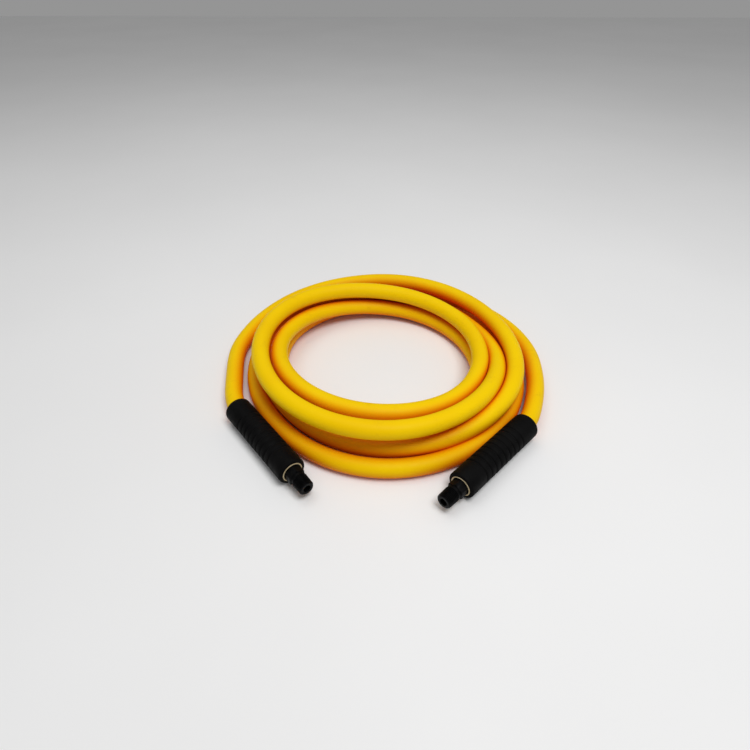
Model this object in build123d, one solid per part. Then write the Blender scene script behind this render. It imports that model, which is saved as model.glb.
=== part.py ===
from build123d import *
import os
from math import cos, radians, sin, tan

# Coiled 3/8 in air hose with a male pipe fitting on each end, lying on the floor.
# Millimetres, +Z up, floor at z = 0, origin under the middle of the whole object.
# The coil is open towards -Y, where both ends of the hose point.

# Hose: liner, textile braid and cover.
HOSE_R = 8.5
BRAID_OUTER_R = 7.3
LINER_OUTER_R = 6.2
HOSE_BORE_R = 4.75

# Place of the coil's middle in the part's frame. All routes are given from there.
COIL_CENTRE = (-2.0, 8.5, 0.0)

# Bend restrictor, the ribbed sleeve over each hose end.
RESTRICTOR_R = 12.4
RESTRICTOR_LENGTH = 97.0
RESTRICTOR_BORE_R = HOSE_R + 0.05
RESTRICTOR_HOSE_EDGE = 2.4
RESTRICTOR_TIP_EDGE = 2.2
MOUTH_FLARE_R = 9.6
MOUTH_FLARE_LENGTH = 12.5
GROOVE_COUNT = 9
GROOVE_PITCH = 6.6
FIRST_GROOVE = 24.0
GROOVE_R = 1.25
GROOVE_DEPTH = 0.9

# Crimped ferrule inside the restrictor.
FERRULE_R = 9.2
FERRULE_BORE_R = 8.1
FERRULE_LENGTH = 33.0
FERRULE_PROUD = 0.3
FERRULE_CUP_R = 8.35
LIP_START = -7.0
LIP_END = -5.6
LIP_BORE_R = 5.6
CRIMP_DEPTH = 0.3
CRIMP_WIDTH = 4.0
CRIMP_STARTS = (-30.0, -23.0, -16.0)

# Stem: barbed nipple, collar, 9/16 in hexagon and 1/4-18 NPT male thread.
STEM_BORE_R = 3.2
NIPPLE_START = -33.0
NIPPLE_CORE_R = 4.4
BARB_R = 5.0
BARB_COUNT = 5
BARB_PITCH = 4.2
COLLAR_R = 7.6
STEM_GROOVE_R = 5.5
HEX_ACROSS_FLATS = 14.3
HEX_CORNER_R = 7.95
HEX_END = 7.5
NECK_R = 6.2
THREAD_START = 9.5
TIP = 22.0
THREAD_PITCH = 25.4 / 18
THREAD_CREST_R = 6.82
THREAD_DEPTH = 0.95
CREST_WIDTH = 0.3
HOSE_END = -8.0

# Hose inside the restrictor: the free hose ends TUCK inside the restrictor's mouth.
TUCK = 21.0
CLAMPED_COVER_R = 8.05
CLAMPED_BORE_R = 5.02

# Routes of the two stretches that aren't coiled, from the coil's middle. The left one runs from
# inside its restrictor up the left side to the coil, the right one from the coil down the right.
LEFT_ROUTE = [
    (-121.7, -84.3, 12.4),
    (-133.9, -69.7, 12.4),
    (-142.3, -52.3, 12.2),
    (-147.4, -26.9, 11.6),
    (-154.6, 14.1, 10.6),
    (-152.8, 40.3, 10.5),
    (-139.6, 79.4, 12.0),
    (-111.0, 114.6, 16.0),
    (-75.3, 135.6, 20.0),
]
RIGHT_ROUTE = [
    (76.0, 131.0, 8.6),
    (116.2, 108.8, 8.7),
    (145.2, 70.3, 8.8),
    (158.6, 26.4, 9.2),
    (155.7, -13.9, 10.2),
    (150.1, -40.1, 11.2),
    (140.1, -69.6, 12.2),
    (130.6, -86.3, 12.4),
    (117.4, -100.0, 12.4),
]

# Outer and inner outline of the coil: the radius of each of eight corners, anticlockwise.
FIRST_CORNER = 22.5
COIL_OUTER = (159.0, 167.0, 173.0, 158.0, 150.0, 151.5, 155.0, 157.0)
COIL_INNER = (99.5, 102.0, 104.5, 104.5, 99.5, 93.0, 92.0, 95.5)
COIL_HEIGHT = 52.0
COIL_EDGE = 9.0
RESTRICTOR_GAP = 0.8


def in_part_frame(point):
    """A point given from the coil's middle, in the part's frame."""
    return Vector(*point) + Vector(*COIL_CENTRE)


def fillet_radii(points):
    """The largest sensible arc at each inner point: 0.45 of its shorter run over tan of half the turn."""
    radii = []
    for before, here, after in zip(points, points[1:], points[2:]):
        run_in = here - before
        run_out = after - here
        half_turn = radians(run_in.get_angle(run_out)) / 2
        radii.append(0.45 * min(run_in.length, run_out.length) / tan(half_turn))
    return radii


def tube_path(route):
    points = [in_part_frame(point) for point in route]
    return FilletPolyline(*points, radius=fillet_radii(points))


def hose_tube(route):
    path = tube_path(route)
    return sweep(Plane(origin=path @ 0, z_dir=path % 0) * Circle(HOSE_R), path)


def closed_outline(corner_radii):
    """A face with eight rounded corners, at the given radii round the coil's middle."""
    corners = []
    for index, radius in enumerate(corner_radii):
        angle = radians(FIRST_CORNER + 45 * index)
        corners.append(in_part_frame((radius * cos(angle), radius * sin(angle), 0)))
    loop = corners[-1:] + corners + corners[:1]
    outline = FilletPolyline(*corners, radius=fillet_radii(loop), close=True)
    return make_face(outline)


def coil_ring():
    """The coil's outer shape: a low ring with rounded edges, flat underneath."""
    ring = extrude(closed_outline(COIL_OUTER) - closed_outline(COIL_INNER), COIL_HEIGHT)
    level_faces = ring.faces().filter_by(Axis.Z)
    return fillet([edge for face in level_faces for edge in face.edges()], COIL_EDGE)


def revolved(profile):
    """A solid of revolution about +Z from (radius, height) points."""
    corners = [(radius, 0, height) for radius, height in profile]
    return revolve(make_face(Polyline(*corners, close=True)), Axis.Z)


# The end pieces are made on +Z, which points outwards, with z = 0 at the restrictor's tip face.

def bend_restrictor():
    """A thick ribbed sleeve, flared inside its mouth, with a pocket for the ferrule at its tip."""
    length = RESTRICTOR_LENGTH
    wall = Rectangle(RESTRICTOR_R, length, align=(Align.MIN, Align.MAX))
    outer = wall.vertices().sort_by(Axis.X)[-2:].sort_by(Axis.Y)
    wall = fillet(outer[0], RESTRICTOR_HOSE_EDGE)
    outer = wall.vertices().sort_by(Axis.Y)[-2:].sort_by(Axis.X)
    wall = fillet(outer[-1], RESTRICTOR_TIP_EDGE)
    wall -= Rectangle(RESTRICTOR_BORE_R, length, align=(Align.MIN, Align.MAX))
    flare = Rectangle(MOUTH_FLARE_R, MOUTH_FLARE_LENGTH, align=(Align.MIN, Align.MIN))
    wall -= Pos(0, -length) * flare
    pocket_length = FERRULE_LENGTH - FERRULE_PROUD + 0.2
    wall -= Rectangle(FERRULE_R + 0.05, pocket_length, align=(Align.MIN, Align.MAX))
    for index in range(GROOVE_COUNT):
        height = FIRST_GROOVE + GROOVE_PITCH * index - length
        wall -= Pos(RESTRICTOR_R - GROOVE_DEPTH + GROOVE_R, height) * Circle(GROOVE_R)
    return revolve(Plane.XZ * wall, Axis.Z)


def ferrule():
    """A crimped brass sleeve with a lip behind the hexagon and a rim just proud of the tip."""
    start = FERRULE_PROUD - FERRULE_LENGTH
    rim = FERRULE_PROUD
    profile = [(FERRULE_BORE_R, start), (FERRULE_R, start)]
    for crimp in CRIMP_STARTS:
        profile.append((FERRULE_R, crimp))
        profile.append((FERRULE_R - CRIMP_DEPTH, crimp + 0.6))
        profile.append((FERRULE_R - CRIMP_DEPTH, crimp + CRIMP_WIDTH - 0.6))
        profile.append((FERRULE_R, crimp + CRIMP_WIDTH))
    profile += [(FERRULE_R, rim - 0.2), (FERRULE_R - 0.2, rim), (FERRULE_CUP_R, rim)]
    profile += [(FERRULE_CUP_R, LIP_END), (LIP_BORE_R, LIP_END)]
    profile += [(LIP_BORE_R, LIP_START), (FERRULE_BORE_R, LIP_START)]
    return revolved(profile)


def barbed_nipple():
    """(radius, height) points of the nipple, from its nose to the collar."""
    profile = [(STEM_BORE_R, NIPPLE_START), (NIPPLE_CORE_R - 0.4, NIPPLE_START)]
    first_barb = NIPPLE_START + 1.5
    profile.append((NIPPLE_CORE_R, first_barb))
    for index in range(BARB_COUNT):
        barb_end = first_barb + BARB_PITCH * (index + 1) - 0.6
        profile.append((BARB_R, barb_end))
        profile.append((NIPPLE_CORE_R, barb_end + 0.2))
    return profile


def thread_profile():
    """(radius, height) points of the thread, drawn as level rings at the taper's mean radius."""
    profile = []
    root_r = THREAD_CREST_R - THREAD_DEPTH
    height = THREAD_START
    while height + THREAD_PITCH < TIP - 0.8:
        crest = height + THREAD_PITCH / 2 - CREST_WIDTH / 2
        profile.append((root_r, height + CREST_WIDTH / 2))
        profile.append((THREAD_CREST_R, crest))
        profile.append((THREAD_CREST_R, crest + CREST_WIDTH))
        profile.append((root_r, height + THREAD_PITCH - CREST_WIDTH / 2))
        height += THREAD_PITCH
    return profile


def stem():
    """The one-piece male fitting: nipple, collar, hexagon and thread, bored through."""
    profile = barbed_nipple()
    profile += [(NIPPLE_CORE_R, HOSE_END), (COLLAR_R, HOSE_END), (COLLAR_R, LIP_START)]
    profile += [(STEM_GROOVE_R, LIP_START), (STEM_GROOVE_R, LIP_END), (NECK_R, LIP_END)]
    profile += [(NECK_R, THREAD_START)]
    profile += thread_profile()
    profile += [(THREAD_CREST_R - THREAD_DEPTH, TIP), (STEM_BORE_R + 0.5, TIP), (STEM_BORE_R, TIP - 0.5)]
    turned = revolved(profile)
    return turned + hexagon()


def hexagon():
    """The hexagon, with its corners turned down and both ends chamfered."""
    prism = extrude(RegularPolygon(HEX_ACROSS_FLATS / 2, 6, major_radius=False), HEX_END - LIP_END)
    prism = Pos(0, 0, LIP_END) * prism
    flat_r = HEX_ACROSS_FLATS / 2
    turned = [(NECK_R, LIP_END), (flat_r, LIP_END), (HEX_CORNER_R, LIP_END + 0.5)]
    turned += [(HEX_CORNER_R, HEX_END - 0.5), (flat_r, HEX_END), (NECK_R, HEX_END)]
    return prism & revolved(turned)


def hose_end_cover():
    """The hose's cover inside the restrictor, squeezed where the ferrule is crimped on it."""
    start = TUCK - RESTRICTOR_LENGTH
    clamp = FERRULE_PROUD - FERRULE_LENGTH
    return revolved([(BRAID_OUTER_R, start), (HOSE_R, start), (HOSE_R, clamp - 0.6),
                     (CLAMPED_COVER_R, clamp - 0.1), (CLAMPED_COVER_R, HOSE_END),
                     (BRAID_OUTER_R, HOSE_END)])


def hose_end_braid():
    """The hose's textile braid inside the restrictor."""
    start = TUCK - RESTRICTOR_LENGTH
    return revolved([(LINER_OUTER_R, start), (BRAID_OUTER_R, start),
                     (BRAID_OUTER_R, HOSE_END), (LINER_OUTER_R, HOSE_END)])


def hose_end_liner():
    """The hose's liner inside the restrictor, opened up where the nipple sits in it."""
    start = TUCK - RESTRICTOR_LENGTH
    return revolved([(HOSE_BORE_R, start), (LINER_OUTER_R, start), (LINER_OUTER_R, HOSE_END),
                     (CLAMPED_BORE_R, HOSE_END), (CLAMPED_BORE_R, NIPPLE_START),
                     (HOSE_BORE_R, NIPPLE_START - 3.0)])


END_PIECES = {
    "bend_restrictor": bend_restrictor,
    "ferrule": ferrule,
    "stem": stem,
    "hose_end_cover": hose_end_cover,
    "hose_end_braid": hose_end_braid,
    "hose_end_liner": hose_end_liner,
}


def end_location(route_end, point_before):
    """Where an end's own frame sits: +Z outwards along the last run, z = 0 at the restrictor's tip."""
    outwards = (Vector(*route_end) - Vector(*point_before)).normalized()
    tip = in_part_frame(route_end) + outwards * (RESTRICTOR_LENGTH - TUCK)
    return Plane(origin=tip, x_dir=(0, 0, 1), z_dir=outwards).location


def restrictor_room():
    """The room that the coil leaves round a restrictor."""
    radius = RESTRICTOR_R + RESTRICTOR_GAP
    length = RESTRICTOR_LENGTH + 2 * RESTRICTOR_GAP
    room = Cylinder(radius, length, align=(Align.CENTER, Align.CENTER, Align.MAX))
    return Pos(0, 0, RESTRICTOR_GAP) * room


def build_parts():
    """Every node's solid, by name."""
    locations = {
        "left": end_location(LEFT_ROUTE[0], LEFT_ROUTE[1]),
        "right": end_location(RIGHT_ROUTE[-1], RIGHT_ROUTE[-2]),
    }
    parts = {
        "left_hose_tail": hose_tube(LEFT_ROUTE),
        "right_hose_tail": hose_tube(RIGHT_ROUTE),
    }
    coil = coil_ring()
    for side, location in locations.items():
        coil -= parts[side + "_hose_tail"]
        coil -= location * restrictor_room()
        for name, make_piece in END_PIECES.items():
            parts[side + "_" + name] = location * make_piece()
    parts["hose_coil"] = coil
    return parts


def report_tube(name, route, solid):
    """The tube's arc radii, and its volume beside its section times its length."""
    points = [in_part_frame(point) for point in route]
    length = tube_path(route).length
    expected = Circle(HOSE_R).area * length
    print(name, "arc radii", [round(radius) for radius in fillet_radii(points)])
    print(name, "length", round(length, 1), "volume ratio", round(solid.volume / expected, 5))


def main():
    os.makedirs("parts", exist_ok=True)
    parts = build_parts()
    for name, solid in parts.items():
        export_step(solid, "parts/" + name + ".step")
    report_tube("left_hose_tail", LEFT_ROUTE, parts["left_hose_tail"])
    report_tube("right_hose_tail", RIGHT_ROUTE, parts["right_hose_tail"])
    box = Compound(children=list(parts.values())).bounding_box()
    print("box", box.min, box.max)


main()
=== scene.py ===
from math import cos, floor, pi, radians, sin, tau

import bpy
from mathutils import Matrix, Vector


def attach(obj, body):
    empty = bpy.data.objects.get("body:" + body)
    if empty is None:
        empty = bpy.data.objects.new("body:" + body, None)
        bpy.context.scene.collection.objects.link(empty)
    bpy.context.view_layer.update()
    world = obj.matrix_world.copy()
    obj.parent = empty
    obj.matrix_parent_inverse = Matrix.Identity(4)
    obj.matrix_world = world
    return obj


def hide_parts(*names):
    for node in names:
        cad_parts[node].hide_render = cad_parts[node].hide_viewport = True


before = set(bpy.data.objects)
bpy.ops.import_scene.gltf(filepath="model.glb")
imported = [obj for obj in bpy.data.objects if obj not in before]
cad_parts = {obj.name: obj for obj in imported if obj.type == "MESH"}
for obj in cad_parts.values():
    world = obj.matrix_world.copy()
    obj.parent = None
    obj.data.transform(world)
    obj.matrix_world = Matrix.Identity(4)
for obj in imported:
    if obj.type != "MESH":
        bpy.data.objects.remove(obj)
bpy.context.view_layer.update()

# A coiled yellow air hose with a black ribbed bend restrictor and a black male pipe fitting on each
# end. Everything is in metres. mm() turns the CAD's millimetres into metres.


def mm(value):
    return value / 1000


# ---------------------------------------------------------------------------------------- sizes

HOSE_R = mm(8.5)
COIL_CENTRE = Vector((mm(-2.0), mm(8.5), 0))

# The uncoiled stretches, in millimetres from the coil's middle, the same points as the CAD's tubes.
LEFT_ROUTE = [
    (-121.7, -84.3, 12.4),
    (-133.9, -69.7, 12.4),
    (-142.3, -52.3, 12.2),
    (-147.4, -26.9, 11.6),
    (-154.6, 14.1, 10.6),
    (-152.8, 40.3, 10.5),
    (-139.6, 79.4, 12.0),
    (-111.0, 114.6, 16.0),
    (-75.3, 135.6, 20.0),
]
RIGHT_ROUTE = [
    (76.0, 131.0, 8.6),
    (116.2, 108.8, 8.7),
    (145.2, 70.3, 8.8),
    (158.6, 26.4, 9.2),
    (155.7, -13.9, 10.2),
    (150.1, -40.1, 11.2),
    (140.1, -69.6, 12.2),
    (130.6, -86.3, 12.4),
    (117.4, -100.0, 12.4),
]

# How each turn of the coil lies: a row is a turn, and a column is a place round the coil, every 60
# degrees clockwise from 30 degrees past the left. Distance from the middle, then height, in mm.
LAY_RADIUS = [
    (156.3, 147.5, 133.5, 131.5, 113.8, 111.3),
    (126.0, 118.0, 117.5, 115.3, 121.0, 119.8),
    (118.3, 104.0, 102.0, 97.0, 96.5, 100.0),
    (107.0, 104.0, 101.0, 99.5, 93.0, 95.0),
    (116.0, 123.0, 134.2, 136.2, 134.3, 126.7),
    (135.7, 142.0, 156.7, 156.0),
]
LAY_HEIGHT = [
    (15.0, 25.0, 29.5, 27.0, 10.5, 15.7),
    (23.5, 26.0, 15.5, 33.0, 41.0, 43.5),
    (43.0, 36.0, 28.0, 28.3, 36.5, 37.0),
    (26.0, 14.0, 9.0, 8.7, 8.5, 8.5),
    (9.0, 8.5, 8.5, 8.5, 8.5, 8.5),
    (8.5, 8.5, 9.0, 12.0),
]
LAY_START = 30
LAY_STEP = 60
COIL_START = 75
COIL_END = 1905
COIL_POINT_STEP = 15

# Bend restrictor and fitting, measured along the end's axis from the restrictor's tip face.
RESTRICTOR_R = mm(12.4)
RESTRICTOR_LENGTH = mm(97.0)
TUCK = mm(21.0)  # how far the drawn hose reaches into the restrictor
MOUTH_R = mm(9.6)
MOUTH_DEPTH = mm(12.5)
MOUTH_STEP = mm(1.0)
MOUTH_EDGE = mm(2.4)
TIP_BORE_R = mm(9.25)
TIP_BORE_DEPTH = mm(34.0)
TIP_EDGE = mm(2.2)
INNER_EDGE = mm(0.3)
GROOVE_COUNT = 9
GROOVE_PITCH = mm(6.6)
FIRST_GROOVE = mm(24.0)
GROOVE_HALF_WIDTH = mm(1.25)
GROOVE_SPREAD = 1.15  # a groove's rounded flanks reach this much further than its half width
GROOVE_DEPTH = mm(0.95)

STEM_BORE_R = mm(3.2)
BORE_CHAMFER = mm(0.5)
HEX_START = mm(-5.6)
HEX_END = mm(7.5)
HEX_FLAT_R = mm(7.15)
HEX_CORNER_R = mm(7.95)
HEX_CHAMFER_R = HEX_FLAT_R - mm(0.1)
HEX_REAR_CHAMFER = mm(0.5)
HEX_FRONT_CHAMFER = mm(0.6)
HEX_BORE_R = STEM_BORE_R + mm(0.02)
NECK_R = mm(6.2)
NECK_FILLET = mm(0.25)
THREAD_START = mm(9.5)
TIP = mm(22.0)
THREAD_PITCH = mm(25.4 / 18)
THREAD_TIP_R = mm(6.63)
THREAD_TAPER = 1 / 32
THREAD_DEPTH = mm(0.95)
THREAD_RUN_OUT = mm(1.0)
THREAD_CHAMFER_R = THREAD_TIP_R - THREAD_DEPTH - mm(0.1)
THREAD_TAIL_R = NECK_R - mm(0.6)
THREAD_TAIL_LENGTH = mm(4.0)

# A tooth's height at its middle and its fall over one pitch, before it is cut off flat at 1 and at 0.
TOOTH_PEAK = 1.25
TOOTH_FALL = 3.0

# How finely the turned pieces are drawn.
LATHE_SEGMENTS = 128
HEX_SEGMENTS = 144
THREAD_SEGMENTS = 96
THREAD_ROWS_PER_TURN = 12
GROOVE_STEPS = 12


# --------------------------------------------------------------------------------------- camera

CAMERA_OFFSET = Vector((0, -0.418, 0.354))
CAMERA_AZIMUTH = radians(0.96)
CAMERA_ELEVATION = radians(40.44)
LENS = 25.0


def add_camera():
    """The eye is above the coil and in front of it, and looks down on it."""
    camera = bpy.data.cameras.new("camera")
    camera.lens = LENS
    camera.sensor_width = 36.0
    camera.clip_start = 0.01
    eye = bpy.data.objects.new("camera", camera)
    eye.location = COIL_CENTRE + CAMERA_OFFSET
    eye.rotation_euler = (pi / 2 - CAMERA_ELEVATION, 0, CAMERA_AZIMUTH)
    bpy.context.scene.collection.objects.link(eye)
    bpy.context.scene.camera = eye


# ------------------------------------------------------------------------------------- the hose

def in_frame(point):
    """A point in millimetres from the coil's middle, in metres in the part's frame."""
    return Vector(point) / 1000 + COIL_CENTRE


def lay_between(rows, degrees):
    """A smooth value between the stations of a lay table, at so many degrees along the coil."""
    values = [value for row in rows for value in row]
    place = (degrees - LAY_START) / LAY_STEP
    index = min(floor(place), len(values) - 2)
    part = place - index
    before = values[max(index - 1, 0)]
    start, end = values[index], values[index + 1]
    after = values[min(index + 2, len(values) - 1)]
    slope = end - before
    bend = 2 * before - 5 * start + 4 * end - after
    twist = 3 * start - before - 3 * end + after
    return start + part * (slope + part * (bend + part * twist)) / 2


def coil_points():
    """Control points of the coil's turns. A turn runs a little inside its control points."""
    inside = (3 + cos(radians(COIL_POINT_STEP))) / 4
    points = []
    for degrees in range(COIL_START, COIL_END + 1, COIL_POINT_STEP):
        radius = lay_between(LAY_RADIUS, degrees) / inside
        angle = radians(180 - degrees)
        points.append((radius * cos(angle), radius * sin(angle), lay_between(LAY_HEIGHT, degrees)))
    return points


def add_hose():
    points = [in_frame(point) for point in LEFT_ROUTE + coil_points() + RIGHT_ROUTE]
    curve = bpy.data.curves.new("hose", "CURVE")
    curve.dimensions = "3D"
    curve.bevel_depth = HOSE_R
    curve.bevel_resolution = 12
    curve.resolution_u = 8
    curve.use_fill_caps = True
    spline = curve.splines.new("NURBS")
    spline.points.add(len(points) - 1)
    for spot, point in zip(spline.points, points):
        spot.co = (*point, 1)
    spline.order_u = 3
    spline.use_endpoint_u = True
    spline.use_smooth = True
    hose = bpy.data.objects.new("hose", curve)
    bpy.context.scene.collection.objects.link(hose)
    return hose


# ------------------------------------------------------------------------------------ materials

class Nodes:
    """A few short helpers round one material's node tree."""

    def __init__(self, name):
        self.material = bpy.data.materials.new(name)
        self.material.use_nodes = True
        self.tree = self.material.node_tree
        self.shader = self.tree.nodes["Principled BSDF"]
        self.place = self.add("ShaderNodeTexCoord").outputs["Object"]

    def add(self, kind, **settings):
        node = self.tree.nodes.new(kind)
        for name, value in settings.items():
            setattr(node, name, value)
        return node

    def link(self, output, socket):
        self.tree.links.new(output, socket)

    def feed(self, socket, value):
        """Links value to the socket if it is a socket itself, and else sets it there."""
        if isinstance(value, bpy.types.NodeSocket):
            self.link(value, socket)
        else:
            socket.default_value = value

    def noise(self, scale, detail=3.0, roughness=0.5, distortion=0.0):
        node = self.add("ShaderNodeTexNoise")
        self.link(self.place, node.inputs["Vector"])
        node.inputs["Scale"].default_value = scale
        node.inputs["Detail"].default_value = detail
        node.inputs["Roughness"].default_value = roughness
        node.inputs["Distortion"].default_value = distortion
        return node.outputs["Fac"]

    def spread(self, value, low, high, out_low=0.0, out_high=1.0):
        node = self.add("ShaderNodeMapRange")
        self.link(value, node.inputs["Value"])
        for name, number in zip(("From Min", "From Max", "To Min", "To Max"),
                                (low, high, out_low, out_high)):
            node.inputs[name].default_value = number
        return node.outputs["Result"]

    def mix(self, amount, first, second):
        """first and second are colours or sockets; amount is a number or a socket."""
        node = self.add("ShaderNodeMix", data_type="RGBA")
        self.feed(node.inputs[0], amount)
        self.feed(node.inputs[6], first)
        self.feed(node.inputs[7], second)
        return node.outputs[2]

    def math(self, operation, first, second):
        node = self.add("ShaderNodeMath", operation=operation)
        self.feed(node.inputs[0], first)
        self.feed(node.inputs[1], second)
        return node.outputs[0]

    def colour(self, socket):
        self.link(socket, self.shader.inputs["Base Color"])

    def roughness(self, socket):
        self.link(socket, self.shader.inputs["Roughness"])

    def bump(self, height, distance, strength):
        node = self.add("ShaderNodeBump")
        self.link(height, node.inputs["Height"])
        node.inputs["Distance"].default_value = distance
        node.inputs["Strength"].default_value = strength
        self.link(node.outputs["Normal"], self.shader.inputs["Normal"])

    def shelter(self, distance):
        """1 where nothing is near and towards 0 deep between surfaces."""
        node = self.add("ShaderNodeAmbientOcclusion", samples=8)
        node.inputs["Distance"].default_value = distance
        return node.outputs["AO"]

    def edges(self, low=0.52, high=0.62):
        """1 on sharp outer edges, where handling wears a surface."""
        return self.spread(self.add("ShaderNodeNewGeometry").outputs["Pointiness"], low, high)


def hose_yellow():
    """Extruded yellow cover: satin, faint drift, scuffs and dirt, and painted shade: deep orange
    darkening in the crevices between turns.
    """
    n = Nodes("hose_yellow")
    drift = n.spread(n.noise(14.0, 4.0), 0.35, 0.65)
    base = n.mix(drift, (0.90, 0.56, 0.0005, 1), (0.93, 0.62, 0.0007, 1))
    grime_spots = n.spread(n.noise(75.0, 6.0, 0.65), 0.60, 0.78, 0.0, 0.30)
    base = n.mix(grime_spots, base, (0.58, 0.30, 0.012, 1))
    pale_scuffs = n.spread(n.noise(260.0, 5.0, 0.7, 1.2), 0.64, 0.78, 0.0, 0.35)
    base = n.mix(pale_scuffs, base, (0.93, 0.64, 0.02, 1))
    # Painted shade: an ambient-occlusion mask darkens the yellow toward deep orange where surfaces
    # lie close, standing in for shadow in the crevices.
    painted_crevice_shade = n.spread(n.shelter(mm(40)), 0.93, 0.18)
    base = n.mix(painted_crevice_shade, base, (0.80, 0.14, 0.0004, 1))
    n.colour(base)
    n.roughness(n.spread(n.noise(120.0, 5.0, 0.6), 0.3, 0.7, 0.40, 0.56))
    fine = n.noise(1800.0, 3.0, 0.6)
    coarse = n.noise(190.0, 4.0)
    n.bump(n.math("ADD", n.math("MULTIPLY", fine, 0.35), coarse), 0.00012, 0.5)
    n.shader.inputs["Specular IOR Level"].default_value = 0.06
    return n.material


def restrictor_black():
    """Moulded black rubber: matte, fine sparked texture, paler on its worn edges."""
    n = Nodes("restrictor_black")
    drift = n.spread(n.noise(45.0, 4.0), 0.35, 0.65)
    base = n.mix(drift, (0.0015, 0.0015, 0.0016, 1), (0.0032, 0.0031, 0.0032, 1))
    base = n.mix(n.math("MULTIPLY", n.edges(), 0.5), base, (0.018, 0.0175, 0.0175, 1))
    dust = n.spread(n.noise(420.0, 6.0, 0.7), 0.60, 0.80, 0.0, 0.35)
    base = n.mix(dust, base, (0.018, 0.017, 0.016, 1))
    n.colour(base)
    n.roughness(n.spread(n.noise(160.0, 5.0), 0.3, 0.7, 0.55, 0.75))
    grain = n.noise(2600.0, 2.0, 0.55)
    n.bump(n.math("ADD", grain, n.math("MULTIPLY", n.noise(300.0, 3.0), 0.8)), 0.00010, 0.7)
    n.shader.inputs["Specular IOR Level"].default_value = 0.07
    return n.material


def fitting_black():
    """Black phosphated steel: dull, with bare grey metal on the thread crests and hexagon corners."""
    n = Nodes("fitting_black")
    drift = n.spread(n.noise(110.0, 5.0, 0.6), 0.35, 0.65)
    base = n.mix(drift, (0.002, 0.002, 0.0022, 1), (0.005, 0.005, 0.0052, 1))
    breakup = n.spread(n.noise(520.0, 5.0, 0.7), 0.42, 0.62)
    wear = n.math("MULTIPLY", n.math("MULTIPLY", n.edges(0.54, 0.66), breakup), 0.6)
    base = n.mix(wear, base, (0.06, 0.059, 0.057, 1))
    n.colour(base)
    n.shader.inputs["Metallic"].default_value = 0.6
    n.shader.inputs["Specular IOR Level"].default_value = 0.15
    n.roughness(n.spread(n.noise(240.0, 5.0), 0.3, 0.7, 0.42, 0.62))
    n.bump(n.noise(1500.0, 4.0, 0.6), 0.00005, 0.6)
    return n.material


def ferrule_brass():
    """Pale plated brass: turned rings, slight tarnish."""
    n = Nodes("ferrule_brass")
    tarnish = n.spread(n.noise(160.0, 6.0, 0.65), 0.40, 0.70)
    base = n.mix(tarnish, (0.74, 0.61, 0.38, 1), (0.50, 0.39, 0.21, 1))
    n.colour(base)
    n.shader.inputs["Metallic"].default_value = 0.35
    n.roughness(n.spread(n.noise(500.0, 4.0), 0.3, 0.7, 0.36, 0.52))
    n.bump(n.noise(2400.0, 2.0), 0.00003, 0.6)
    return n.material


def braid_fabric():
    """Undyed textile braid between the liner and the cover."""
    n = Nodes("braid_fabric")
    strands = n.add("ShaderNodeTexWave", wave_type="BANDS", bands_direction="DIAGONAL")
    n.link(n.place, strands.inputs["Vector"])
    strands.inputs["Scale"].default_value = 420.0
    strands.inputs["Distortion"].default_value = 1.5
    weave = n.spread(strands.outputs["Fac"], 0.2, 0.8)
    n.colour(n.mix(weave, (0.42, 0.40, 0.35, 1), (0.74, 0.72, 0.66, 1)))
    n.roughness(n.spread(n.noise(300.0), 0.3, 0.7, 0.75, 0.92))
    n.bump(weave, 0.0002, 0.8)
    return n.material


def liner_black():
    """Smooth black rubber liner."""
    n = Nodes("liner_black")
    drift = n.spread(n.noise(90.0), 0.35, 0.65)
    n.colour(n.mix(drift, (0.012, 0.012, 0.012, 1), (0.03, 0.03, 0.03, 1)))
    n.roughness(n.spread(n.noise(220.0), 0.3, 0.7, 0.30, 0.5))
    n.bump(n.noise(900.0), 0.00005, 0.5)
    return n.material


# ------------------------------------------------------------------------------ the end pieces

def mesh_object(name, verts, faces):
    mesh = bpy.data.meshes.new(name)
    mesh.from_pydata(verts, [], faces)
    mesh.validate()
    piece = bpy.data.objects.new(name, mesh)
    bpy.context.scene.collection.objects.link(piece)
    return piece


def angles_round(segments):
    return [tau * index / segments for index in range(segments)]


def ring_points(height, radii):
    """One ring of points about +Z, evenly spaced, with a radius for each."""
    angles = angles_round(len(radii))
    return [(radius * cos(angle), radius * sin(angle), height)
            for radius, angle in zip(radii, angles)]


def circles(profile, segments):
    """A round ring of points for each (radius, height) of a profile."""
    points = []
    for radius, height in profile:
        points += ring_points(height, [radius] * segments)
    return points


def ring_mesh(name, verts, segments):
    """Joins rings of points into a closed skin, the last ring back to the first."""
    faces = []
    rings = len(verts) // segments
    for ring in range(rings):
        next_ring = (ring + 1) % rings
        for index in range(segments):
            after = (index + 1) % segments
            faces.append((ring * segments + index, ring * segments + after,
                          next_ring * segments + after, next_ring * segments + index))
    return mesh_object(name, verts, faces)


def lathe(name, profile):
    """A closed (radius, height) profile turned about +Z into a mesh object."""
    return ring_mesh(name, circles(profile, LATHE_SEGMENTS), LATHE_SEGMENTS)


def rounded_corner(radius, centre, start, end, steps):
    """Profile points on an arc about centre, from one angle to another, in degrees."""
    points = []
    for step in range(steps + 1):
        angle = radians(start + (end - start) * step / steps)
        points.append((centre[0] + radius * cos(angle), centre[1] + radius * sin(angle)))
    return points


def groove_points(middle):
    """Profile points of one rounded groove in the restrictor, from its hose side to its tip side."""
    points = []
    for step in range(GROOVE_STEPS + 1):
        across = 2 * step / GROOVE_STEPS - 1
        dip = GROOVE_DEPTH * (1 + cos(pi * across)) / 2
        points.append((RESTRICTOR_R - dip, middle + GROOVE_SPREAD * GROOVE_HALF_WIDTH * across))
    return points


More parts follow.
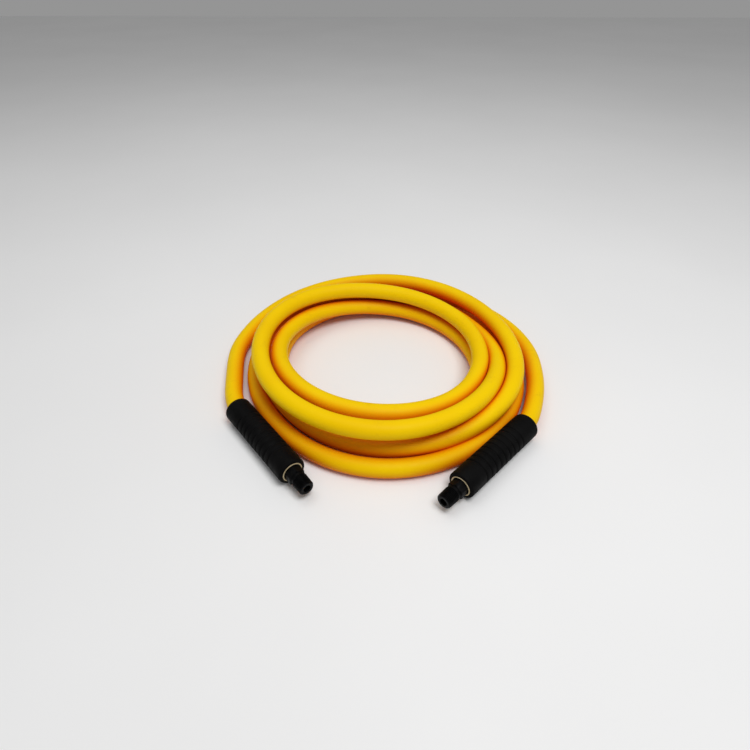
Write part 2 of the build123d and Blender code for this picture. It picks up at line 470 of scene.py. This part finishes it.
def restrictor_mesh(name):
    """The ribbed sleeve: rounded ends, nine grooves, a flared mouth and an open tip."""
    start = -RESTRICTOR_LENGTH
    inner_r = MOUTH_R - INNER_EDGE
    profile = [(inner_r, start + MOUTH_DEPTH), (MOUTH_R, start + MOUTH_DEPTH - MOUTH_STEP)]
    profile += rounded_corner(INNER_EDGE, (MOUTH_R + INNER_EDGE, start + INNER_EDGE), 180, 270, 4)
    profile += rounded_corner(MOUTH_EDGE, (RESTRICTOR_R - MOUTH_EDGE, start + MOUTH_EDGE), -90, 0, 8)
    for index in range(GROOVE_COUNT):
        profile += groove_points(start + FIRST_GROOVE + GROOVE_PITCH * index)
    profile += rounded_corner(TIP_EDGE, (RESTRICTOR_R - TIP_EDGE, -TIP_EDGE), 0, 90, 8)
    profile += rounded_corner(INNER_EDGE, (TIP_BORE_R + INNER_EDGE, -INNER_EDGE), 90, 180, 3)
    profile += [(TIP_BORE_R, -TIP_BORE_DEPTH), (inner_r, -TIP_BORE_DEPTH)]
    return lathe(name, profile)


def thread_mesh(name):
    """The taper pipe thread as a true helix, with its chamfered start and the bore's mouth."""
    length = TIP - THREAD_START
    rows = int(length / THREAD_PITCH * THREAD_ROWS_PER_TURN)
    angles = angles_round(THREAD_SEGMENTS)
    verts = []
    for row in range(rows + 1):
        height = THREAD_START + length * row / rows
        verts += ring_points(height, [thread_radius(height, angle) for angle in angles])
    tail_end = THREAD_START - THREAD_TAIL_LENGTH
    closing = [(STEM_BORE_R + BORE_CHAMFER, TIP), (STEM_BORE_R, TIP - BORE_CHAMFER),
               (STEM_BORE_R, tail_end), (THREAD_TAIL_R, tail_end), (THREAD_TAIL_R, THREAD_START)]
    verts += circles(closing, THREAD_SEGMENTS)
    return ring_mesh(name, verts, THREAD_SEGMENTS)


def thread_radius(height, angle):
    """Radius of the thread's surface: flat crests and roots with straight flanks between them."""
    crest = THREAD_TIP_R + (TIP - height) * THREAD_TAPER
    phase = ((height - THREAD_START) / THREAD_PITCH - angle / tau) % 1
    tooth = min(1, max(0, TOOTH_PEAK - TOOTH_FALL * abs(phase - 0.5)))
    radius = crest - THREAD_DEPTH * (1 - tooth)
    run_out = min(1, (height - THREAD_START) / THREAD_RUN_OUT)
    radius = NECK_R + (radius - NECK_R) * run_out
    chamfer = THREAD_CHAMFER_R + max(0, TIP - height)
    return min(radius, chamfer)


def hexagon_radius(angle, limit):
    """Radius of a hexagon's surface at an angle, with its corners turned down to a limit."""
    side = tau / 6
    flat = HEX_FLAT_R / cos(angle % side - side / 2)
    return min(flat, limit)


def hexagon_mesh(name):
    """The 9/16 in hexagon with turned corners and chamfered ends, and the neck in front of it."""
    levels = [(HEX_START, HEX_CHAMFER_R), (HEX_START + HEX_REAR_CHAMFER, HEX_CORNER_R),
              (HEX_END - HEX_FRONT_CHAMFER, HEX_CORNER_R), (HEX_END, HEX_CHAMFER_R)]
    angles = angles_round(HEX_SEGMENTS)
    verts = []
    for height, limit in levels:
        verts += ring_points(height, [hexagon_radius(angle, limit) for angle in angles])
    closing = [(NECK_R + NECK_FILLET, HEX_END), (NECK_R, HEX_END + NECK_FILLET),
               (NECK_R, THREAD_START), (HEX_BORE_R, THREAD_START), (HEX_BORE_R, HEX_START)]
    verts += circles(closing, HEX_SEGMENTS)
    return ring_mesh(name, verts, HEX_SEGMENTS)


def end_matrix(route_end, point_before):
    """The end's own frame: +Z outwards along the last run, origin at the restrictor's tip face."""
    outwards = (in_frame(route_end) - in_frame(point_before)).normalized()
    tip = in_frame(route_end) + outwards * (RESTRICTOR_LENGTH - TUCK)
    up = Vector((0, 0, 1))
    across = up.cross(outwards)
    turned = Matrix((up, across, outwards)).transposed()
    return Matrix.Translation(tip) @ turned.to_4x4()


def finish_mesh(piece, matrix, material, sharp_angle=35):
    """Puts a piece in its place in its mesh, shades it and gives it its material."""
    piece.data.transform(matrix)
    piece.data.materials.append(material)
    piece.data.shade_smooth()
    piece.data.set_sharp_from_angle(angle=radians(sharp_angle))


def dress_cad_node(node, material):
    piece = bpy.data.objects[node]
    piece.data.materials.clear()
    piece.data.materials.append(material)


def add_end(side, matrix, looks):
    """One end's restrictor and fitting, which are returned, and the CAD's pieces in them, dressed."""
    restrictor = restrictor_mesh(side + "_restrictor")
    finish_mesh(restrictor, matrix, looks["restrictor"], 60)
    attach(restrictor, "root")
    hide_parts(side + "_bend_restrictor")
    pieces = [restrictor]
    for name, make in (("thread", thread_mesh), ("hexagon", hexagon_mesh)):
        piece = make(side + "_" + name)
        finish_mesh(piece, matrix, looks["stem"])
        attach(piece, "root")
        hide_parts(side + "_stem")
        pieces.append(piece)
    dress_cad_node(side + "_ferrule", looks["ferrule"])
    for layer in ("cover", "braid", "liner"):
        dress_cad_node(side + "_hose_end_" + layer, looks[layer])
    return pieces


# ---------------------------------------------------------------------------- floor and lights

def add_floor():
    reach = 3.0
    corners = [(-reach, -reach, 0), (reach, -reach, 0), (reach, reach, 0), (-reach, reach, 0)]
    floor_piece = mesh_object("floor", corners, [(0, 1, 2, 3)])
    n = Nodes("floor_white")
    drift = n.spread(n.noise(3.0), 0.3, 0.7)
    n.colour(n.mix(drift, (0.86, 0.86, 0.86, 1), (0.89, 0.89, 0.89, 1)))
    n.shader.inputs["Roughness"].default_value = 0.9
    floor_piece.data.materials.append(n.material)


def add_light(name, place, size, power):
    """A round lamp that points at the origin."""
    light = bpy.data.lights.new(name, "AREA")
    light.shape = "DISK"
    light.size = size
    light.energy = power
    lamp = bpy.data.objects.new(name, light)
    lamp.location = place
    towards_origin = -Vector(place)
    lamp.rotation_euler = towards_origin.to_track_quat("-Z", "Y").to_euler()
    bpy.context.scene.collection.objects.link(lamp)


def add_lights():
    """A soft light above and to the front right, a wider, weaker one on top, and a white room."""
    add_light("key", (0.35, -0.45, 1.35), size=0.7, power=11)
    add_light("top", (-0.3, 0.2, 1.5), size=1.2, power=5)
    world = bpy.data.worlds.new("studio")
    world.use_nodes = True
    background = world.node_tree.nodes["Background"]
    background.inputs["Color"].default_value = (1, 1, 1, 1)
    background.inputs["Strength"].default_value = 0.30
    bpy.context.scene.world = world


# ----------------------------------------------------------------------------------- the scene

add_camera()
hose = add_hose()

looks = {
    "cover": hose_yellow(),
    "restrictor": restrictor_black(),
    "stem": fitting_black(),
    "ferrule": ferrule_brass(),
    "braid": braid_fabric(),
    "liner": liner_black(),
}
hose.data.materials.append(looks["cover"])
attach(hose, "root")
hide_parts("hose_coil", "left_hose_tail", "right_hose_tail")

add_end("left", end_matrix(LEFT_ROUTE[0], LEFT_ROUTE[1]), looks)
right_pieces = add_end("right", end_matrix(RIGHT_ROUTE[-1], RIGHT_ROUTE[-2]), looks)

add_floor()
add_lights()
bpy.context.scene.view_settings.view_transform = "Standard"
